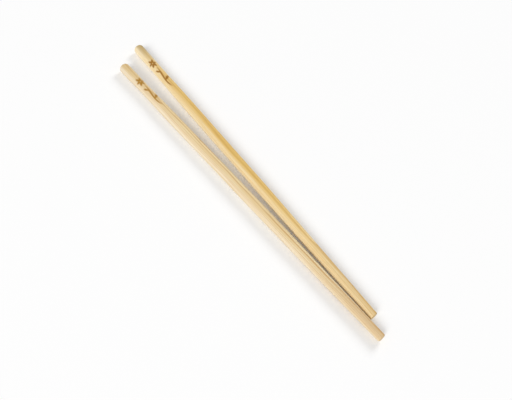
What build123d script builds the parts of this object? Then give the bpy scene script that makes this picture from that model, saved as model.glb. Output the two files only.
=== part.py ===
"""A pair of turned wooden chopsticks, lying on a table with their tips together and their handles spread."""

import math
import os

from build123d import *

# One stick from its handle end to its tip, in millimetres. Behind a short straight handle it draws in
# to a slight waist, swells to a straight belly that it rests on, and tapers from there to the tip.
stick_length = 240.0
handle_diameter = 6.65
handle_straight = 9.0
handle_edge_radius = 2.2
neck_length = 14.0
waist_diameter = 6.3
swell_length = 37.0
belly_diameter = 6.9
belly_length = 70.0
taper_blend = 11.0
tip_diameter = 4.95

# The sawn tips: how many degrees each cut is off square, and how much its edge is eased
near_tip_cut_angle = 3.0
far_tip_cut_angle = 5.0
near_tip_edge_radius = 0.9
far_tip_edge_radius = 0.6

# How the two sticks lie: the angle between them in degrees, how far the far tip stops short of the
# near tip, and the gap between their flanks beside the far tip
opening_angle = 3.14
tip_setback = 11.6
tip_clearance = 0.9

# Worked out from the above
handle_radius = handle_diameter / 2
waist_radius = waist_diameter / 2
belly_radius = belly_diameter / 2
tip_radius = tip_diameter / 2
waist_station = handle_straight + neck_length
belly_start = waist_station + swell_length
belly_end = belly_start + belly_length
# The straight flank of the taper, carried back, meets the belly's flank at the taper's corner
taper_corner = belly_end + taper_blend
tip_slope = (belly_radius - tip_radius) / (stick_length - taper_corner)
taper_angle = math.atan(tip_slope)
opening_sine = math.sin(math.radians(opening_angle))
opening_cosine = math.cos(math.radians(opening_angle))


def bend(start_station: float, start_radius: float, end_station: float, end_radius: float) -> None:
    """Two tangent arcs that carry the outline from one radius to another, level at both ends."""
    middle = ((start_station + end_station) / 2, (start_radius + end_radius) / 2)
    leaving = TangentArc((start_station, start_radius), middle, tangent=(1, 0))
    TangentArc(middle, (end_station, end_radius), tangent=leaving % 1)


def turned_stick(axis_plane: Plane, tip_cut_angle: float, tip_edge_radius: float) -> BuildPart:
    """One chopstick, turned about its plane's x direction, with the middle of its handle end at the origin."""
    # The stick is turned a little too long, so that the saw can take the tip off at a slant
    saw_allowance = tip_diameter
    blank_length = stick_length + saw_allowance
    blank_end_radius = tip_radius - saw_allowance * tip_slope
    taper_start = (
        taper_corner + taper_blend * math.cos(taper_angle),
        belly_radius - taper_blend * math.sin(taper_angle),
    )
    turning_axis = Axis(axis_plane.origin, axis_plane.x_dir)

    with BuildPart() as stick:
        with BuildSketch(axis_plane):
            with BuildLine():
                Line((0, 0), (0, handle_radius))
                Line((0, handle_radius), (handle_straight, handle_radius))
                bend(handle_straight, handle_radius, waist_station, waist_radius)
                bend(waist_station, waist_radius, belly_start, belly_radius)
                Line((belly_start, belly_radius), (belly_end, belly_radius))
                TangentArc((belly_end, belly_radius), taper_start, tangent=(1, 0))
                Line(taper_start, (blank_length, blank_end_radius))
                Line((blank_length, blank_end_radius), (blank_length, 0))
                Line((blank_length, 0), (0, 0))
            make_face()
        revolve(axis=turning_axis)

        # The saw cut crosses the axis at the stick's length and leaves the flank on the near side longer
        across = math.radians(tip_cut_angle)
        cut_normal = axis_plane.x_dir * math.cos(across) + axis_plane.y_dir * math.sin(across)
        cut_centre = axis_plane.origin + axis_plane.x_dir * stick_length
        split(bisect_by=Plane(origin=cut_centre, z_dir=cut_normal), keep=Keep.BOTTOM)

        handle_end = stick.faces().filter_by(GeomType.PLANE).sort_by(turning_axis).first
        fillet(handle_end.edges(), radius=handle_edge_radius)
        tip_end = stick.faces().filter_by(GeomType.PLANE).sort_by(turning_axis).last
        fillet(tip_end.edges(), radius=tip_edge_radius)
    return stick


# Where the far stick lies, measured from the near stick's handle end, along that stick and across it.
# The sticks spread more than their flanks taper, so they come closest at the far tip.
near_radius_beside_far_tip = tip_radius + tip_setback * tip_slope
far_tip_along = stick_length - tip_setback
far_tip_across = near_radius_beside_far_tip + tip_clearance + tip_radius * opening_cosine
far_handle_along = far_tip_along - stick_length * opening_cosine
far_handle_across = far_tip_across + stick_length * opening_sine

# The origin is on the table, midway along and midway across the pair
middle_along = (far_handle_along + stick_length) / 2
middle_across = (far_handle_across + handle_radius * opening_cosine - belly_radius) / 2

near_plane = Plane(
    origin=(-middle_along, -middle_across, belly_radius),
    x_dir=(1, 0, 0),
    z_dir=(0, 0, 1),
)
far_plane = Plane(
    origin=(far_handle_along - middle_along, far_handle_across - middle_across, belly_radius),
    x_dir=(opening_cosine, -opening_sine, 0),
    z_dir=(0, 0, 1),
)

os.makedirs("parts", exist_ok=True)

near_chopstick = turned_stick(near_plane, near_tip_cut_angle, near_tip_edge_radius)
near_chopstick.part.label = "near_chopstick"
export_step(near_chopstick.part, "parts/near_chopstick.step")

far_chopstick = turned_stick(far_plane, far_tip_cut_angle, far_tip_edge_radius)
far_chopstick.part.label = "far_chopstick"
export_step(far_chopstick.part, "parts/far_chopstick.step")
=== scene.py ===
"""A pair of turned wooden chopsticks, a flower and a sprig burnt in by each handle, lying on a floor."""

import logging
import math
from collections.abc import Iterator
from dataclasses import dataclass
from enum import Enum

import bmesh
import bpy
import numpy as np
from bpy.types import Material, Mesh, Node, NodeSocket, NodeTree, Object
from mathutils import Matrix, Vector


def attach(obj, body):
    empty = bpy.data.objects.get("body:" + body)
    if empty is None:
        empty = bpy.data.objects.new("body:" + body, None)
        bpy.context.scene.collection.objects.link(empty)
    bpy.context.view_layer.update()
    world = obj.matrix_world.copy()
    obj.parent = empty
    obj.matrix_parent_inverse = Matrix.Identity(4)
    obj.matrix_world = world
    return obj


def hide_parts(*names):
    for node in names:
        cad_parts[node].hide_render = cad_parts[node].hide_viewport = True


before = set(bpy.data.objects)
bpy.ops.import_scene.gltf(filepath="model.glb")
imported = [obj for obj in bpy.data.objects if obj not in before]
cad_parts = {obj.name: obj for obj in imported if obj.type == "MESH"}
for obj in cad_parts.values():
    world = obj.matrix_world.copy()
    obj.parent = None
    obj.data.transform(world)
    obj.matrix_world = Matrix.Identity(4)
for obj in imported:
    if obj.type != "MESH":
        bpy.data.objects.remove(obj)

log = logging.getLogger("chopsticks")

PHOTO_WIDTH = 512
MM = 0.001
GRAIN_GROUP = "stick_grain"
SCORCH_GROUP = "scorch_mark"
BAKE_MAP = "OFBake"
FLOAT, VECTOR = "NodeSocketFloat", "NodeSocketVector"

Colour = tuple[float, float, float]
LinearColour = tuple[float, float, float, float]
Triple = tuple[float, float, float]
Point = tuple[float, float]
Span = tuple[float, float]
Sockets = bpy.types.bpy_prop_collection

WHITE: LinearColour = (1.0, 1.0, 1.0, 1.0)


class Stick(Enum):
    """The two sticks of the pair, by their CAD nodes."""

    NEAR = "near_chopstick"
    FAR = "far_chopstick"


class Slot(Enum):
    """The record's material slots."""

    PALE = "pale_wood"
    GOLDEN = "golden_wood"


class PointMark(Enum):
    """What each point of a stick tells its material."""

    END_GRAIN = "end_grain"
    SCORCH = "scorch"


def linear(srgb: Colour) -> LinearColour:
    """Turns a colour as it looks on a screen into the linear colour that a shader takes.

    Args:
        srgb: Red, green and blue from 0 to 255.

    Returns:
        The linear colour with full alpha.
    """
    # The standard curve of screens is straight near black and a power above it
    shown = (channel / 255 for channel in srgb)
    light = (share / 12.92 if share <= 0.04045 else ((share + 0.055) / 1.055) ** 2.4 for share in shown)
    return (*light, 1.0)


def smoothstep(low: float, high: float, value: np.ndarray) -> np.ndarray:
    """Rises smoothly from 0 at low to 1 at high."""
    share = np.clip((value - low) / (high - low), 0.0, 1.0)
    return share * share * (3 - 2 * share)


def read_vectors(items: bpy.types.bpy_prop_collection, name: str) -> np.ndarray:
    """Reads one vector of every item of a mesh.

    Args:
        items: The mesh's points or faces.
        name: Which of their vectors.

    Returns:
        The vectors, one in each row.
    """
    values = np.empty(len(items) * 3)
    items.foreach_get(name, values)
    return values.reshape(-1, 3)


# The shape of the sticks and how they lie


@dataclass(frozen=True)
class Turning:
    """The turned outline of one stick, from the handle end to the tip, in millimetres."""

    length: float = 240.0
    handle_radius: float = 3.325
    handle_straight: float = 9.0
    handle_edge: float = 2.2
    neck_length: float = 14.0
    waist_radius: float = 3.15
    swell_length: float = 37.0
    belly_radius: float = 3.45
    belly_length: float = 70.0
    taper_blend: float = 11.0
    tip_radius: float = 2.475

    @property
    def waist(self) -> float:
        """Station of the waist."""
        return self.handle_straight + self.neck_length

    @property
    def belly_start(self) -> float:
        """Station at which the swell reaches the belly."""
        return self.waist + self.swell_length

    @property
    def belly_end(self) -> float:
        """Station at which the taper begins to bend away."""
        return self.belly_start + self.belly_length

    @property
    def slope(self) -> float:
        """Fall of the radius for each millimetre of the straight taper, from the corner it starts at."""
        return (self.belly_radius - self.tip_radius) / (self.length - self.belly_end - self.taper_blend)

    @staticmethod
    def bend(along: float, length: float, start: float, end: float) -> float:
        """Radius on two equal tangent arcs that are level at both ends.

        Args:
            along: Distance from the start of the bend.
            length: Length of the bend.
            start: Radius at its start.
            end: Radius at its end.

        Returns:
            The radius there.
        """
        half = length / 2
        rise = (end - start) / 2
        arc = (half**2 + rise**2) / (2 * abs(rise))
        nearest = min(along, length - along)
        drop = math.copysign(arc - math.sqrt(arc**2 - nearest**2), rise)
        return start + drop if along < half else end - drop

    def radius(self, station: float) -> float:
        """Radius of the stick.

        Args:
            station: Distance from the handle end. Past the tip the taper goes on.

        Returns:
            The radius there.
        """
        if station < self.handle_edge:
            into = self.handle_edge - station
            return self.handle_radius - self.handle_edge + math.sqrt(self.handle_edge**2 - into**2)
        if station < self.handle_straight:
            return self.handle_radius
        if station < self.waist:
            along = station - self.handle_straight
            return self.bend(along, self.neck_length, self.handle_radius, self.waist_radius)
        if station < self.belly_start:
            along = station - self.waist
            return self.bend(along, self.swell_length, self.waist_radius, self.belly_radius)
        if station < self.belly_end:
            return self.belly_radius
        angle = math.atan(self.slope)
        arc = self.taper_blend / math.tan(angle / 2)
        into = station - self.belly_end
        if into < arc * math.sin(angle):
            return self.belly_radius - arc + math.sqrt(arc**2 - into**2)
        return self.tip_radius + (self.length - station) * self.slope


@dataclass(frozen=True)
class Layout:
    """How the two sticks lie, in millimetres and degrees, with the origin midway on the table."""

    turning: Turning = Turning()
    opening_angle: float = 3.14
    tip_setback: float = 11.6
    tip_clearance: float = 0.9

    def place(self, stick: Stick) -> Matrix:
        """Where a stick lies.

        Args:
            stick: Which of the two.

        Returns:
            The matrix that takes a stick drawn along +X from the origin, in metres, to its place.
        """
        turned = self.turning
        angle = math.radians(self.opening_angle)
        beside_tip = turned.tip_radius + self.tip_setback * turned.slope
        tip_across = beside_tip + self.tip_clearance + turned.tip_radius * math.cos(angle)
        far_across = tip_across + turned.length * math.sin(angle)
        far_along = turned.length - self.tip_setback - turned.length * math.cos(angle)
        middle_along = (far_along + turned.length) / 2
        middle_across = (far_across + turned.handle_radius * math.cos(angle) - turned.belly_radius) / 2
        if stick is Stick.NEAR:
            handle_end = Vector((-middle_along, -middle_across, turned.belly_radius))
            return Matrix.Translation(handle_end * MM)
        handle_end = Vector((far_along - middle_along, far_across - middle_across, turned.belly_radius))
        return Matrix.Translation(handle_end * MM) @ Matrix.Rotation(-angle, 4, "Z")


# The burnt ornament, on the unrolled surface of a stick, in millimetres


@dataclass(frozen=True)
class Stroke:
    """A stroke of the burning tool: the points it runs through and its width at each."""

    path: tuple[Point, ...]
    widths: tuple[float, ...]

    def distance(self, along: np.ndarray, across: np.ndarray) -> np.ndarray:
        """Distance from the stroke's edge.

        Args:
            along: Places of the points along the stick.
            across: Their places round the stick.

        Returns:
            The distances, under 0 inside the stroke.
        """
        best = np.full(along.shape, np.inf)
        spans = zip(self.path, self.path[1:], self.widths, self.widths[1:])
        for (from_x, from_y), (to_x, to_y), from_wide, to_wide in spans:
            run, rise = to_x - from_x, to_y - from_y
            share = ((along - from_x) * run + (across - from_y) * rise) / (run * run + rise * rise)
            share = np.clip(share, 0.0, 1.0)
            gap = np.hypot(along - from_x - share * run, across - from_y - share * rise)
            best = np.minimum(best, gap - (from_wide + (to_wide - from_wide) * share) / 2)
        return best


@dataclass(frozen=True)
class Ornament:
    """A six-petalled flower and a curling sprig, drawn from the flower's middle towards the tip."""

    petals: int = 6
    petal_reach: float = 2.5
    petal_stretch: float = 1.42
    petal_shares: tuple[float, ...] = (0.25, 0.5, 0.75, 1.0)
    petal_widths: tuple[float, ...] = (0.7, 1.35, 1.3, 0.5)
    heart_radius: float = 0.42
    eye_radius: float = 1.3
    stem: Stroke = Stroke(
        path=(
            (4.6, -0.50),
            (6.2, -0.48),
            (7.9, -0.38),
            (9.6, -0.20),
            (12.1, 0.10),
            (14.6, 0.45),
            (17.2, 0.72),
            (19.5, 0.70),
            (21.6, 0.40),
            (23.7, -0.10),
        ),
        widths=(0.2, 0.34, 0.54, 0.88, 0.94, 0.84, 0.78, 0.7, 0.54, 0.2),
    )
    leaf: Stroke = Stroke(
        path=((9.4, -0.15), (8.6, 0.45), (7.8, 1.0), (6.8, 1.45)),
        widths=(0.5, 0.85, 1.1, 0.85),
    )
    bud: Stroke = Stroke(
        path=((17.0, 0.5), (16.5, -0.3), (15.7, -1.2), (14.8, -2.3)),
        widths=(0.5, 1.3, 1.8, 1.3),
    )

    @property
    def reach(self) -> Span:
        """How far it runs from the flower's middle, towards the handle end and towards the tip."""
        return self.petal_reach * self.petal_stretch, self.stem.path[-1][0]

    def strokes(self) -> Iterator[Stroke]:
        """Draws the petals, the stem, the leaf and the bud.

        Yields:
            One stroke after another.
        """
        for petal in range(self.petals):
            angle = math.tau * (petal + 0.5) / self.petals
            tip_along = self.petal_reach * self.petal_stretch * math.cos(angle)
            tip_across = self.petal_reach * math.sin(angle)
            path = tuple((tip_along * share, tip_across * share) for share in self.petal_shares)
            yield Stroke(path, self.petal_widths)
        yield from (self.stem, self.leaf, self.bud)

    def distance(self, along: np.ndarray, across: np.ndarray) -> np.ndarray:
        """Distance from the edge of the burnt wood.

        Args:
            along: Places along the stick, from the flower's middle towards the tip.
            across: Places round the stick, from the flower's middle towards the near side.

        Returns:
            The distances, under 0 where the wood is burnt.
        """
        from_heart = np.hypot(along, across)
        burnt = from_heart - self.eye_radius
        for stroke in self.strokes():
            burnt = np.minimum(burnt, stroke.distance(along, across))
        return np.maximum(burnt, self.heart_radius - from_heart)


# Node groups that both woods share


@dataclass(frozen=True)
class Pattern:
    """A noise in the wood: how often it changes in a millimetre along and across the stick, and its detail.

    Marks made from it rise from 0 to 1 while the noise goes through the span.
    """

    along: float
    across: float
    detail: float = 2.0
    span: Span = (0.3, 0.7)


class Wiring:
    """Puts nodes into a tree and joins them, so that a material reads as a list of steps."""

    def __init__(self, tree: NodeTree) -> None:
        """Works on one node tree."""
        self.tree = tree

    def node(self, kind: str, **settings: object) -> Node:
        """Adds a node.

        Args:
            kind: Its type.
            **settings: Settings of the node itself, by their names.

        Returns:
            The new node.
        """
        made = self.tree.nodes.new(kind)
        for name, value in settings.items():
            setattr(made, name, value)
        return made

    def feed(self, socket: NodeSocket, value: object) -> None:
        """Joins an input to another node's output, or sets its value.

        Args:
            socket: The input.
            value: The output that it is joined to, or its plain value.
        """
        if isinstance(value, NodeSocket):
            self.tree.links.new(value, socket)
        else:
            socket.default_value = value

    def math(self, operation: str, *values: object, clamp: bool = False) -> NodeSocket:
        """Adds a Math node.

        Args:
            operation: What it does.
            *values: What goes into it, in order.
            clamp: Whether the outcome is kept between 0 and 1.

        Returns:
            The outcome.
        """
        made = self.node("ShaderNodeMath", operation=operation, use_clamp=clamp)
        for socket, value in zip(made.inputs, values):
            self.feed(socket, value)
        return made.outputs[0]

    def vector(self, operation: str, *values: object) -> Node:
        """Adds a Vector Math node.

        Args:
            operation: What it does.
            *values: The vectors that go into it, in order.

        Returns:
            The node, whose output is called Vector or Value.
        """
        made = self.node("ShaderNodeVectorMath", operation=operation)
        for socket, value in zip(made.inputs, values):
            self.feed(socket, value)
        return made

    def noise(self, place: NodeSocket, pattern: Pattern) -> NodeSocket:
        """Adds the noise of a pattern.

        Args:
            place: Coordinates along and across the stick, in millimetres.
            pattern: The pattern.

        Returns:
            The noise, from 0 to 1.
        """
        scales = (pattern.along, pattern.across, pattern.across)
        stretched = self.vector("MULTIPLY", place, scales).outputs["Vector"]
        made = self.node("ShaderNodeTexNoise")
        self.feed(made.inputs["Vector"], stretched)
        self.feed(made.inputs["Scale"], 1.0)
        self.feed(made.inputs["Detail"], pattern.detail)
        return made.outputs["Fac"]

    def sway(self, place: NodeSocket, pattern: Pattern) -> NodeSocket:
        """The noise of a pattern, brought to lie between -0.5 and 0.5."""
        return self.math("SUBTRACT", self.noise(place, pattern), 0.5)

    def marks(self, place: NodeSocket, pattern: Pattern) -> NodeSocket:
        """Marks from 0 to 1 where the noise of a pattern is strong."""
        return self.ramp(self.noise(place, pattern), *pattern.span)

    def ramp(self, value: NodeSocket, zero_at: object, one_at: object) -> NodeSocket:
        """Adds a smooth rise from 0 to 1.

        Args:
            value: What it follows.
            zero_at: The value at which it is 0.
            one_at: The value at which it is 1, above or below the other.

        Returns:
            The rise.
        """
        made = self.node("ShaderNodeMapRange", interpolation_type="SMOOTHSTEP")
        for name, setting in zip(("Value", "From Min", "From Max"), (value, zero_at, one_at)):
            self.feed(made.inputs[name], setting)
        return made.outputs["Result"]

    def fall(self, value: NodeSocket, one_at: object, zero_at: object) -> NodeSocket:
        """A smooth fall from 1 at one value to 0 at the other."""
        return self.math("SUBTRACT", 1.0, self.ramp(value, one_at, zero_at))

    def blend(self, share: object, first: object, second: object, mode: str = "MIX") -> NodeSocket:
        """Adds a mix of two colours.

        Args:
            share: How much of the second colour comes in, from 0 to 1.
            first: The first colour.
            second: The second colour.
            mode: MIX for the second colour itself, or MULTIPLY for its product with the first.

        Returns:
            The mixed colour.
        """
        made = self.node("ShaderNodeMix", data_type="RGBA", blend_type=mode)
        for name, value in zip(("Factor_Float", "A_Color", "B_Color"), (share, first, second)):
            self.feed(next(socket for socket in made.inputs if socket.identifier == name), value)
        return next(socket for socket in made.outputs if socket.identifier == "Result_Color")

    def group(self, name: str, **inputs: object) -> Sockets:
        """Adds one of the shared node groups.

        Args:
            name: Which of them.
            **inputs: What goes into it, by the names of its inputs.

        Returns:
            Its outputs.
        """
        made = self.node("ShaderNodeGroup", node_tree=bpy.data.node_groups[name])
        for title, value in inputs.items():
            self.feed(made.inputs[title], value)
        return made.outputs


def new_group(name: str, ins: dict[str, str], outs: tuple[str, ...]) -> tuple[Wiring, Sockets, Sockets]:
    """Starts a shader node group whose outputs are all plain numbers.

    Args:
        name: Its name.
        ins: Its inputs, each with its socket type.
        outs: Its outputs.

    Returns:
        The group's wiring, the values of its inputs and the sockets that its outputs are fed through.
    """
    tree = bpy.data.node_groups.new(name, "ShaderNodeTree")
    for title, kind in ins.items():
        tree.interface.new_socket(title, in_out="INPUT", socket_type=kind)
    for title in outs:
        tree.interface.new_socket(title, in_out="OUTPUT", socket_type=FLOAT)
    given = tree.nodes.new("NodeGroupInput").outputs
    return Wiring(tree), given, tree.nodes.new("NodeGroupOutput").inputs


@dataclass(frozen=True)
class Grain:
    """Wood grain of a stick along X, in millimetres, sawn from nearly flat layers of growth.

    The layers drift slowly along the stick and wander more quickly, and they differ in thickness. A dark
    line closes each of them: it comes up sharply and falls off just before the next layer.
    """

    drift: Pattern = Pattern(along=0.009, across=0.05)
    wander: Pattern = Pattern(along=0.035, across=0.55)
    fibres: Pattern = Pattern(along=0.05, across=6.0)
    streaks: Pattern = Pattern(along=0.026, across=0.7, detail=3.0)
    pores: Pattern = Pattern(along=0.4, across=9.0, detail=1.0, span=(0.66, 0.76))
    layer_wander: float = 0.9
    thickness_scale: float = 0.45
    thickness_detail: float = 1.0
    thickness_change: float = 1.8
    line_sharpness: float = 3.5
    line_falls_from: float = 0.9
    faintest_line: float = 0.25
    line_strength: float = 2.2
    side_drift: float = 2.5
    side_wander: float = 1.2
    side_span: Span = (-1.0, 2.4)
    flank_span: Span = (-1.2, -3.0)

    def build_group(self) -> None:
        """Builds the node group.

        Its outputs run from 0 to 1: the dark line that closes each layer, the fine fibres, the broader
        streaks, the short dark pores, how far a point lies towards the far side of the stick, where shade
        is painted, and how far towards the near side, where a highlight is painted.
        """
        wire, given, out = new_group(
            GRAIN_GROUP,
            {
                "Vector": VECTOR,
                "Shift": VECTOR,
                "LayerNormal": VECTOR,
                "LayerSpacing": FLOAT,
                "LayerDrift": FLOAT,
                "SideNormal": VECTOR,
            },
            ("Layers", "Fibres", "Streaks", "Pores", "Side", "LitFlank"),
        )
        place = wire.vector("ADD", given["Vector"], given["Shift"]).outputs["Vector"]
        drift = wire.sway(place, self.drift)
        wander = wire.sway(place, self.wander)
        wire.feed(out["Layers"], self.layer_lines(wire, self.depth(wire, given, drift, wander)))
        # How far a point lies towards the far side, away from the viewer-side lamp, where shade is painted;
        # its edge wanders like the layers
        side = wire.vector("DOT_PRODUCT", given["Vector"], given["SideNormal"]).outputs["Value"]
        side = wire.math("MULTIPLY_ADD", drift, self.side_drift, side)
        side = wire.math("MULTIPLY_ADD", wander, self.side_wander, side)
        for name, pattern in (("Fibres", self.fibres), ("Streaks", self.streaks), ("Pores", self.pores)):
            wire.feed(out[name], wire.marks(place, pattern))
        wire.feed(out["Side"], wire.ramp(side, *self.side_span))
        # The near side, towards the viewer-side lamp, where a highlight is painted
        wire.feed(out["LitFlank"], wire.ramp(side, *self.flank_span))

    def depth(self, wire: Wiring, given: Sockets, drift: NodeSocket, wander: NodeSocket) -> NodeSocket:
        """Depth in the wood, counted in layers of growth that differ in thickness.

        Args:
            wire: The group's wiring.
            given: The group's inputs.
            drift: A slow sway along the stick.
            wander: A quicker one.

        Returns:
            The depth, whose whole part is the layer and whose rest is the place within it.
        """
        depth = wire.vector("DOT_PRODUCT", given["Vector"], given["LayerNormal"]).outputs["Value"]
        depth = wire.math("DIVIDE", depth, given["LayerSpacing"])
        depth = wire.math("MULTIPLY_ADD", drift, given["LayerDrift"], depth)
        depth = wire.math("MULTIPLY_ADD", wander, self.layer_wander, depth)
        change = wire.node("ShaderNodeTexNoise", noise_dimensions="1D")
        wire.feed(change.inputs["W"], depth)
        wire.feed(change.inputs["Scale"], self.thickness_scale)
        wire.feed(change.inputs["Detail"], self.thickness_detail)
        return wire.math("MULTIPLY_ADD", change.outputs["Fac"], self.thickness_change, depth)

    def layer_lines(self, wire: Wiring, depth: NodeSocket) -> NodeSocket:
        """The dark lines that close the layers, some of them fainter.

        Args:
            wire: The group's wiring.
            depth: The depth counted in layers.

        Returns:
            The lines, from 0 to 1.
        """
        within = wire.math("FRACT", depth)
        chance = wire.node("ShaderNodeTexWhiteNoise", noise_dimensions="1D")
        wire.feed(chance.inputs["W"], wire.math("FLOOR", depth))
        rise = wire.math("POWER", within, self.line_sharpness)
        fall = wire.fall(within, self.line_falls_from, 1.0)
        chance = chance.outputs["Value"]
        strength = wire.math("MULTIPLY_ADD", chance, 1.0 - self.faintest_line, self.faintest_line)
        line = wire.math("MULTIPLY", rise, fall)
        return wire.math("MULTIPLY", line, wire.math("MULTIPLY", strength, self.line_strength), clamp=True)


@dataclass(frozen=True)
class Scorch:
    """Burnt marks with a slightly ragged edge, from the distance to that edge in millimetres."""

    edge: Pattern = Pattern(along=2.0, across=7.0, detail=3.0)
    raggedness: float = 0.25
    halo_span: Span = (-0.1, 0.5)

    def build_group(self) -> None:
        """Builds the node group.

        Its outputs run from 0 to 1: the mark itself and the faint browning of the wood beside it.
        """
        wire, given, out = new_group(
            SCORCH_GROUP,
            {"Vector": VECTOR, "Distance": FLOAT, "Softness": FLOAT},
            ("Mark", "Halo"),
        )
        ragged = wire.sway(given["Vector"], self.edge)
        edge = wire.math("MULTIPLY_ADD", ragged, self.raggedness, given["Distance"])
        within = wire.math("MULTIPLY", given["Softness"], -1.0)
        wire.feed(out["Mark"], wire.fall(edge, within, given["Softness"]))
        wire.feed(out["Halo"], wire.fall(edge, *self.halo_span))


# Finishes


@dataclass(frozen=True)
class WoodFinish:
    """A dry, smooth, unvarnished pale wood, with its colours as they look on a screen.

    On the far side of the stick, away from the viewer-side lamp, the side colour is painted shade, partly
    the wood's own golden tone; it lies from where it starts along the stick to where it fades out. A paler
    colour on the near side, towards that lamp, is a painted highlight, and it lies all round by the handle
    too. The handle colour is painted shade on the far side by the handle end, and the tip colour darkens
    the wood towards the tip, half of it all round and half on the far side as painted shade. Spans along
    the stick are in millimetres from its handle end, and a share is how much of a colour or pattern shows.
    The depths of fibres, lines and pores are parts of the bump's depth.
    """

    name: str
    slot: Slot
    base: Colour
    line: Colour
    streak_tint: Colour
    side: Colour
    lit_flank: Colour
    handle: Colour
    tip: Colour
    end_grain: Colour
    scorched: Colour
    shift: Triple
    layer_angle: float
    layer_drift: float
    side_angle: float
    side_start: Span
    side_fade: Span
    handle_shade_share: float
    line_share: float
    handle_span: Span = (0.0, 26.0)
    tip_span: Span = (150.0, 235.0)
    layer_spacing: float = 1.25
    streak_share: float = 0.55
    fibre_share: float = 0.3
    pore_share: float = 0.15
    shaded_side_share: float = 0.9
    flank_share: float = 0.9
    handle_flank_share: float = 0.65
    tip_share: float = 0.7
    tip_line_share: float = 0.6
    end_grain_share: float = 0.5
    halo_share: float = 0.2
    burnt_fibre_share: float = 0.1
    scorch_softness: float = 0.08
    roughness: float = 0.5
    fibre_roughness: float = 0.1
    end_grain_roughness: float = 0.15
    scorch_roughness: float = 0.12
    refraction: float = 1.4
    bump: float = 0.12
    bump_depth: float = 0.05
    fibre_depth: float = 0.6
    line_depth: float = 0.5
    pore_depth: float = 0.8

    def material(self, place: Matrix) -> Material:
        """Builds the finish.

        Args:
            place: Where the stick lies.

        Returns:
            A material whose grain runs along that stick.
        """
        made = bpy.data.materials.new(self.name)
        made.use_nodes = True
        wire = Wiring(made.node_tree)
        shader = made.node_tree.nodes["Principled BSDF"].inputs

        along = self.stick_coordinates(wire, place)
        grain = wire.group(
            GRAIN_GROUP,
            Vector=along,
            Shift=self.shift,
            LayerNormal=self.across(self.layer_angle),
            LayerSpacing=self.layer_spacing,
            LayerDrift=self.layer_drift,
            SideNormal=self.across(self.side_angle),
        )
        end = wire.node("ShaderNodeAttribute", attribute_name=PointMark.END_GRAIN.value).outputs["Fac"]
        edge = wire.node("ShaderNodeAttribute", attribute_name=PointMark.SCORCH.value).outputs["Fac"]
        scorch = wire.group(SCORCH_GROUP, Vector=along, Distance=edge, Softness=self.scorch_softness)

        colour = self.wood_colour(wire, along, grain)
        end_share = wire.math("MULTIPLY", end, self.end_grain_share)
        colour = wire.blend(end_share, colour, linear(self.end_grain))
        browning = wire.math("MULTIPLY", scorch["Halo"], self.halo_share)
        colour = wire.blend(browning, colour, linear(self.scorched))
        spared = wire.math("MULTIPLY", grain["Fibres"], self.burnt_fibre_share)
        burnt = wire.blend(spared, linear(self.scorched), colour)
        wire.feed(shader["Base Color"], wire.blend(scorch["Mark"], colour, burnt))

        rough = wire.math("MULTIPLY_ADD", grain["Fibres"], self.fibre_roughness, self.roughness)
        rough = wire.math("MULTIPLY_ADD", end, self.end_grain_roughness, rough)
        rough = wire.math("MULTIPLY_ADD", scorch["Mark"], self.scorch_roughness, rough, clamp=True)
        wire.feed(shader["Roughness"], rough)
        wire.feed(shader["IOR"], self.refraction)
        wire.feed(shader["Normal"], self.relief(wire, grain))
        return made

    @staticmethod
    def across(angle: float) -> Triple:
        """A direction across the stick, by its angle in degrees from straight up towards the near side."""
        return (0.0, -math.sin(math.radians(angle)), math.cos(math.radians(angle)))

    def stick_coordinates(self, wire: Wiring, place: Matrix) -> NodeSocket:
        """Coordinates in millimetres along and across the stick, from the middle of its handle end.

        Args:
            wire: The material's wiring.
            place: Where the stick lies.

        Returns:
            The coordinates.
        """
        mapping = wire.node("ShaderNodeMapping", vector_type="TEXTURE")
        wire.feed(mapping.inputs["Vector"], wire.node("ShaderNodeTexCoord").outputs["Object"])
        wire.feed(mapping.inputs["Location"], place.to_translation())
        wire.feed(mapping.inputs["Rotation"], tuple(place.to_euler()))
        wire.feed(mapping.inputs["Scale"], (MM, MM, MM))
        return mapping.outputs["Vector"]

    def wood_colour(self, wire: Wiring, along: NodeSocket, grain: Sockets) -> NodeSocket:
        """Colour of the bare wood, with painted shade on the far side and a painted highlight on the near
        side.

        Args:
            wire: The material's wiring.
            along: The coordinates along the stick.
            grain: The outputs of the grain group.

        Returns:
            The colour.
        """
        parts = wire.node("ShaderNodeSeparateXYZ")
        wire.feed(parts.inputs["Vector"], along)
        station = parts.outputs["X"]
        # Painted shade, partly the wood's own golden tone, on the far side away from the viewer-side lamp
        starts = wire.ramp(station, *self.side_start)
        fades = wire.fall(station, *self.side_fade)
        side = wire.math("MULTIPLY", wire.math("MULTIPLY", starts, fades), self.shaded_side_share)
        side = wire.math("MULTIPLY", grain["Side"], side)
        # Painted highlight: a paler colour on the near side, towards the viewer-side lamp, which also goes
        # all round by the handle
        by_handle = wire.fall(station, *self.handle_span)
        lit_flank = wire.math("MULTIPLY", grain["LitFlank"], self.flank_share)
        lit_flank = wire.math("MAXIMUM", lit_flank, wire.math("MULTIPLY", by_handle, self.handle_flank_share))
        # Painted shade: a darker, greyer colour on the far side by the handle end
        handle_shade = wire.math("MULTIPLY", grain["Side"], self.handle_shade_share)
        handle_shade = wire.math("MULTIPLY", by_handle, handle_shade)
        # A darker colour towards the tip, half of it all round and half on the far side as painted shade
        tip_tone_and_shade = wire.math("MULTIPLY_ADD", grain["Side"], self.tip_share / 2, self.tip_share / 2)
        by_tip = wire.math("MULTIPLY", wire.ramp(station, *self.tip_span), tip_tone_and_shade)

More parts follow.
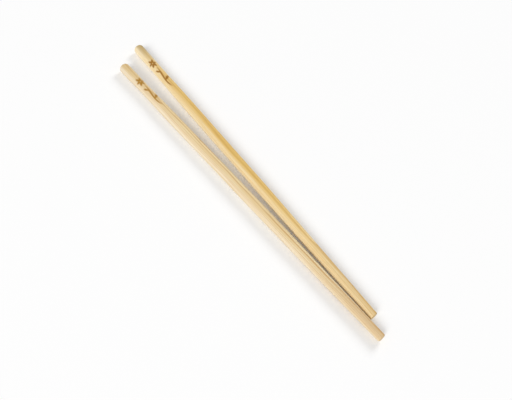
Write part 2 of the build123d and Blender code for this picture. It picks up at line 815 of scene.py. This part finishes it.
        colour = wire.blend(lit_flank, linear(self.base), linear(self.lit_flank))
        colour = wire.blend(by_tip, colour, linear(self.tip))
        colour = wire.blend(side, colour, linear(self.side))
        colour = wire.blend(handle_shade, colour, linear(self.handle))
        for pattern, share in (("Streaks", self.streak_share), ("Fibres", self.fibre_share)):
            tinted = wire.math("MULTIPLY", grain[pattern], share)
            colour = wire.blend(tinted, colour, linear(self.streak_tint), "MULTIPLY")
        lines = wire.math("MULTIPLY_ADD", by_tip, self.tip_line_share, self.line_share, clamp=True)
        colour = wire.blend(wire.math("MULTIPLY", grain["Layers"], lines), colour, linear(self.line))
        pores = wire.math("MULTIPLY", grain["Pores"], self.pore_share)
        return wire.blend(pores, colour, linear(self.scorched))

    def relief(self, wire: Wiring, grain: Sockets) -> NodeSocket:
        """Fibres, lines and pores that lie a little below the surface.

        Args:
            wire: The material's wiring.
            grain: The outputs of the grain group.

        Returns:
            The normal of the surface.
        """
        height = 1.0
        depths = (("Fibres", self.fibre_depth), ("Layers", self.line_depth), ("Pores", self.pore_depth))
        for pattern, depth in depths:
            height = wire.math("MULTIPLY_ADD", grain[pattern], -depth, height)
        bump = wire.node("ShaderNodeBump")
        wire.feed(bump.inputs["Strength"], self.bump)
        wire.feed(bump.inputs["Distance"], self.bump_depth * MM)
        wire.feed(bump.inputs["Height"], height)
        return bump.outputs["Normal"]


PALE_WOOD = WoodFinish(
    name="pale_wood",
    slot=Slot.PALE,
    base=(243, 230, 203),
    line=(200, 158, 98),
    streak_tint=(238, 221, 192),
    side=(237, 217, 169),
    lit_flank=(242, 237, 222),
    handle=(219, 197, 145),
    tip=(218, 193, 150),
    end_grain=(210, 180, 136),
    scorched=(167, 117, 8),
    shift=(13.0, -13.0, 14.0),
    layer_angle=-50.0,
    layer_drift=1.6,
    side_angle=-40.0,
    side_start=(-1.0, 0.0),
    side_fade=(165.0, 230.0),
    handle_shade_share=0.5,
    line_share=0.85,
)

GOLDEN_WOOD = WoodFinish(
    name="golden_wood",
    slot=Slot.GOLDEN,
    base=(253, 238, 199),
    line=(200, 158, 80),
    streak_tint=(242, 227, 196),
    side=(223, 184, 88),
    lit_flank=(247, 237, 214),
    handle=(178, 156, 104),
    tip=(222, 194, 144),
    end_grain=(206, 176, 122),
    scorched=(152, 100, 0),
    shift=(-57.0, 12.0, 21.0),
    layer_angle=-34.0,
    layer_drift=2.8,
    side_angle=-40.0,
    side_start=(-25.0, 60.0),
    side_fade=(140.0, 230.0),
    handle_shade_share=0.9,
    line_share=0.55,
)


# The sticks themselves


@dataclass(frozen=True)
class Rows:
    """The flat layout of a stick's surface: its length cut into rows that lie above one another.

    The sizes are in millimetres on the stick. The two round ends lie above the rows, in patches of their
    own, and a face belongs to one where it faces along the stick more than the steepness says.
    """

    count: int = 3
    row_height: float = 22.4
    margin: float = 0.8
    sheet_size: float = 84.0
    patch_height: float = 8.0
    handle_patch_at: float = 8.0
    tip_patch_at: float = 24.0
    steep: float = 0.62

    def lay_out(self, mesh: Mesh, turning: Turning) -> None:
        """Gives the mesh, still along +X and in millimetres, a texture layout.

        Args:
            mesh: The stick.
            turning: Its outline.
        """
        corners = np.empty(len(mesh.loops), dtype=np.int32)
        mesh.loops.foreach_get("vertex_index", corners)
        sizes = np.empty(len(mesh.polygons), dtype=np.int32)
        mesh.polygons.foreach_get("loop_total", sizes)
        face = np.repeat(np.arange(len(sizes)), sizes)
        places = read_vectors(mesh.vertices, "co")[corners]
        middle = np.stack([np.bincount(face, places[:, axis]) / sizes for axis in range(3)], axis=1)[face]
        facing = read_vectors(mesh.polygons, "normal")[face, 0]

        # A face that crosses the line where the angle jumps is kept in one piece
        centre_angle = np.arctan2(-middle[:, 1], middle[:, 2])
        angle = np.arctan2(-places[:, 1], places[:, 2]) - centre_angle
        angle = (angle + math.pi) % math.tau - math.pi + centre_angle
        row_length = turning.length / self.count
        row = np.clip(np.floor(middle[:, 0] / row_length), 0, self.count - 1)
        u = places[:, 0] - row * row_length + self.margin
        v = (row + 0.5) * self.row_height + angle * turning.belly_radius

        at_end = np.abs(facing) > self.steep
        patch_at = np.where(facing < 0, self.handle_patch_at, self.tip_patch_at)
        patch_above = self.count * self.row_height + self.patch_height / 2
        u = np.where(at_end, patch_at + places[:, 1], u)
        v = np.where(at_end, patch_above + places[:, 2], v)
        layer = mesh.uv_layers.new(name=BAKE_MAP)
        layer.data.foreach_set("uv", (np.stack([u, v], axis=1) / self.sheet_size).ravel())


@dataclass(frozen=True)
class Chopstick:
    """One turned stick: its tube spun from the outline, its sawn tip, its burnt ornament and its wood.

    Sizes are in millimetres and degrees. The flower's station is measured along the stick, and its arc
    round the stick, from the top towards the near side. No ring lies within the clear stretch before the
    tip, given in widths of the tip's eased edge. End grain shows where the surface faces along the stick.
    """

    stick: Stick
    finish: WoodFinish
    cut_angle: float
    tip_edge: float
    flower_station: float
    flower_arc: float
    layout: Layout = Layout()
    ornament: Ornament = Ornament()
    rows: Rows = Rows()
    sides: int = 144
    handle_steps: int = 10
    tip_steps: int = 8
    fine_step: float = 0.18
    coarse_step: float = 1.6
    clear_tip_edges: float = 3.0
    merge_distance: float = 1e-5
    flat_end_angle: float = 8.0
    end_grain_span: Span = (0.35, 0.95)
    ornament_wrap: float = 6.3
    scorch_reach: float = 0.8
    scorch_depth: float = 0.02
    scorch_slope: float = 0.12

    @property
    def name(self) -> str:
        """Name of the finished piece."""
        return f"{self.stick.value}_wood"

    @property
    def turning(self) -> Turning:
        """The outline that it is turned to."""
        return self.layout.turning

    @property
    def scorched_span(self) -> Span:
        """Stations between which the ornament lies, with room for the browned wood beside it.

        Returns:
            The first station and the last one.
        """
        behind, ahead = self.ornament.reach
        first = self.flower_station - behind - self.scorch_reach
        last = self.flower_station + ahead + self.scorch_reach
        return first, last

    def stations(self) -> Iterator[float]:
        """Places the rings, close together on the rounded handle end and under the ornament.

        Yields:
            The stations in order. The last one is past the tip, where the saw cuts.
        """
        edge = self.turning.handle_edge
        for step in range(self.handle_steps):
            yield edge * (1 - math.cos(math.pi / 2 * step / self.handle_steps))
        first, last = self.scorched_span
        clear_from = self.turning.length - self.clear_tip_edges * self.tip_edge
        station = edge
        while station < clear_from - self.coarse_step:
            yield station
            station += self.fine_step if first <= station < last else self.coarse_step
        yield self.turning.length + self.turning.tip_radius

    def spin_tube(self, shape: bmesh.types.BMesh) -> None:
        """Spins the outline round the stick's axis, closed at the handle end and open past the tip.

        Args:
            shape: An empty mesh, which becomes the tube along +X.
        """
        previous = shape.verts.new((0, 0, 0))
        for station in self.stations():
            point = shape.verts.new((station, 0, self.turning.radius(station)))
            shape.edges.new((previous, point))
            previous = point
        bmesh.ops.spin(
            shape,
            geom=[*shape.verts, *shape.edges],
            axis=(1, 0, 0),
            cent=(0, 0, 0),
            angle=math.tau,
            steps=self.sides,
            use_merge=True,
        )
        bmesh.ops.remove_doubles(shape, verts=shape.verts, dist=self.merge_distance)

    def saw_tip(self, shape: bmesh.types.BMesh) -> None:
        """Saws the tip off at its slant, closes it and eases its edge.

        Args:
            shape: The tube.
        """
        across = math.radians(self.cut_angle)
        bmesh.ops.bisect_plane(
            shape,
            geom=[*shape.verts, *shape.edges, *shape.faces],
            plane_co=(self.turning.length, 0, 0),
            plane_no=(math.cos(across), math.sin(across), 0),
            clear_outer=True,
        )
        rim = [edge for edge in shape.edges if edge.is_boundary]
        bmesh.ops.contextual_create(shape, geom=rim)
        bmesh.ops.bevel(
            shape,
            geom=rim,
            offset=self.tip_edge,
            offset_type="OFFSET",
            segments=self.tip_steps,
            profile=0.5,
            affect="EDGES",
            material=-1,
        )

    def dress_points(self, mesh: Mesh) -> None:
        """Marks the end grain and the distance to the ornament on every point, and sinks the burnt wood.

        Args:
            mesh: The stick, still along +X and in millimetres.
        """
        places = read_vectors(mesh.vertices, "co")
        facing = np.abs(read_vectors(mesh.vertices, "normal")[:, 0])
        first, last = self.scorched_span
        arc = np.arctan2(-places[:, 1], places[:, 2]) * self.turning.waist_radius
        spots = (places[:, 0] > first) & (places[:, 0] < last) & (np.abs(arc) < self.ornament_wrap)
        drawn = self.ornament.distance(places[spots, 0] - self.flower_station, arc[spots] - self.flower_arc)
        distance = np.full(len(places), self.scorch_reach)
        distance[spots] = np.minimum(drawn, self.scorch_reach)
        depth = self.scorch_depth * (1 - smoothstep(-self.scorch_slope, self.scorch_slope, distance))
        # The middle of the handle end lies on the axis and is kept from a division by 0
        radius = np.maximum(np.hypot(places[:, 1], places[:, 2]), depth + MM)
        places[:, 1:] *= (1 - depth / radius)[:, None]
        mesh.vertices.foreach_set("co", places.ravel())
        marks = {PointMark.END_GRAIN: smoothstep(*self.end_grain_span, facing), PointMark.SCORCH: distance}
        for mark, values in marks.items():
            mesh.attributes.new(mark.value, "FLOAT", "POINT").data.foreach_set("value", values)

    def build(self) -> Object:
        """Builds the stick, lays it in its place and puts it for its CAD node.

        Returns:
            The finished piece.
        """
        shape = bmesh.new()
        self.spin_tube(shape)
        self.saw_tip(shape)
        bmesh.ops.recalc_face_normals(shape, faces=shape.faces)
        for face in shape.faces:
            face.smooth = abs(face.normal.x) < math.cos(math.radians(self.flat_end_angle))
        mesh = bpy.data.meshes.new(self.name)
        shape.to_mesh(mesh)
        shape.free()
        self.dress_points(mesh)
        self.rows.lay_out(mesh, self.turning)
        place = self.layout.place(self.stick)
        mesh.transform(place @ Matrix.Scale(MM, 4))
        mesh.materials.append(self.finish.material(place))
        piece = bpy.data.objects.new(self.name, mesh)
        bpy.context.scene.collection.objects.link(piece)
        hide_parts(self.stick.value)
        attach(piece, "root")
        return piece


# The studio


@dataclass(frozen=True)
class Lamp:
    """A round soft lamp that points at the origin, in metres and degrees.

    Its brightness is the share of its own colour that a white surface facing it gives back.
    """

    name: str
    brightness: float
    heading: float
    height: float
    size: float = 3.5
    distance: float = 8.0

    def build(self) -> Object:
        """Builds the lamp and hangs it in its place.

        Returns:
            The lamp.
        """
        lamp = bpy.data.lights.new(self.name, "AREA")
        lamp.shape = "DISK"
        lamp.size = self.size
        lamp.energy = self.brightness * (math.pi * self.distance) ** 2
        piece = bpy.data.objects.new(self.name, lamp)
        heading, height = math.radians(self.heading), math.radians(self.height)
        level = math.cos(height)
        way = Vector((math.cos(heading) * level, math.sin(heading) * level, math.sin(height)))
        turn = way.to_track_quat("Z", "Y").to_matrix().to_4x4()
        piece.matrix_world = Matrix.Translation(way * self.distance) @ turn
        bpy.context.scene.collection.objects.link(piece)
        return piece


@dataclass(frozen=True)
class Studio:
    """The floor, the light and the camera, in metres and degrees.

    The brightness of the sky is the share of its own colour that a white surface facing it gives back. The
    floor is lifted a little where the camera or a reflection meets it, and lights nothing by that.
    """

    floor_half: float = 1.5
    floor_colour: Colour = (252, 252, 252)
    floor_roughness: float = 0.9
    floor_lift: float = 0.04
    sky_brightness: float = 0.45
    lamps: tuple[Lamp, ...] = (
        Lamp("viewer_side_lamp", brightness=0.58, heading=-70.0, height=34.0),
        Lamp("far_side_lamp", brightness=0.38, heading=105.0, height=35.0),
    )
    focal_pixels: float = 693.83
    sensor_width: float = 36.0
    nearest_seen: float = 0.01
    eye: Triple = (0.17466, -0.21671, 0.31319)
    aim: Triple = (0.01703, -0.00419, 0.0)
    roll: float = 16.7266

    @staticmethod
    def seen_or_mirrored(wire: Wiring) -> NodeSocket:
        """1 where the camera or a reflection meets the surroundings, 0 where they only give light."""
        path = wire.node("ShaderNodeLightPath").outputs
        return wire.math("MAXIMUM", path["Is Camera Ray"], path["Is Glossy Ray"])

    def build_floor(self) -> Object:
        """Builds a plain pale floor that keeps the sticks' shadow.

        Returns:
            The floor, which is no part of the object.
        """
        shape = bmesh.new()
        bmesh.ops.create_grid(shape, x_segments=1, y_segments=1, size=self.floor_half)
        mesh = bpy.data.meshes.new("floor")
        shape.to_mesh(mesh)
        shape.free()
        made = bpy.data.materials.new("pale_floor")
        made.use_nodes = True
        wire = Wiring(made.node_tree)
        shader = made.node_tree.nodes["Principled BSDF"].inputs
        wire.feed(shader["Base Color"], linear(self.floor_colour))
        wire.feed(shader["Roughness"], self.floor_roughness)
        wire.feed(shader["Specular IOR Level"], 0.0)
        wire.feed(shader["Emission Color"], WHITE)
        lift = wire.math("MULTIPLY", self.seen_or_mirrored(wire), self.floor_lift)
        wire.feed(shader["Emission Strength"], lift)
        mesh.materials.append(made)
        piece = bpy.data.objects.new("floor", mesh)
        bpy.context.scene.collection.objects.link(piece)
        return piece

    def build_sky(self) -> None:
        """Builds an even pale light from all round, which shows white behind the floor."""
        world = bpy.data.worlds.new("studio")
        world.use_nodes = True
        wire = Wiring(world.node_tree)
        background = world.node_tree.nodes["Background"].inputs
        wire.feed(background["Color"], WHITE)
        strength = wire.math("MAXIMUM", self.seen_or_mirrored(wire), self.sky_brightness)
        wire.feed(background["Strength"], strength)
        bpy.context.scene.world = world

    def build_camera(self) -> Object:
        """Builds a camera where the photograph was taken from.

        Returns:
            The camera, which the scene then looks through.
        """
        lens = bpy.data.cameras.new("camera")
        lens.sensor_width = self.sensor_width
        lens.lens = self.focal_pixels / PHOTO_WIDTH * self.sensor_width
        lens.clip_start = self.nearest_seen
        piece = bpy.data.objects.new("camera", lens)
        back = Vector(self.eye) - Vector(self.aim)
        turn = back.to_track_quat("Z", "Y").to_matrix().to_4x4()
        rolled = turn @ Matrix.Rotation(math.radians(self.roll), 4, "Z")
        piece.matrix_world = Matrix.Translation(self.eye) @ rolled
        bpy.context.scene.collection.objects.link(piece)
        bpy.context.scene.camera = piece
        return piece

    def build(self) -> None:
        """Builds the floor, the light and the camera."""
        self.build_floor()
        self.build_sky()
        for lamp in self.lamps:
            lamp.build()
        self.build_camera()
        bpy.context.scene.view_settings.view_transform = "Standard"


NEAR_CHOPSTICK = Chopstick(
    stick=Stick.NEAR,
    finish=PALE_WOOD,
    cut_angle=3.0,
    tip_edge=0.9,
    flower_station=20.1,
    flower_arc=0.5,
)

FAR_CHOPSTICK = Chopstick(
    stick=Stick.FAR,
    finish=GOLDEN_WOOD,
    cut_angle=5.0,
    tip_edge=0.6,
    flower_station=20.6,
    flower_arc=1.3,
)


def main() -> None:
    """Builds the pair and the studio."""
    logging.basicConfig(level=logging.INFO, format="%(name)s: %(message)s")
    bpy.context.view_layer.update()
    Grain().build_group()
    Scorch().build_group()
    for chopstick in (NEAR_CHOPSTICK, FAR_CHOPSTICK):
        piece = chopstick.build()
        log.info("%s: %d faces", piece.name, len(piece.data.polygons))
    Studio().build()
    log.info("studio built")


if __name__ == "__main__":
    main()
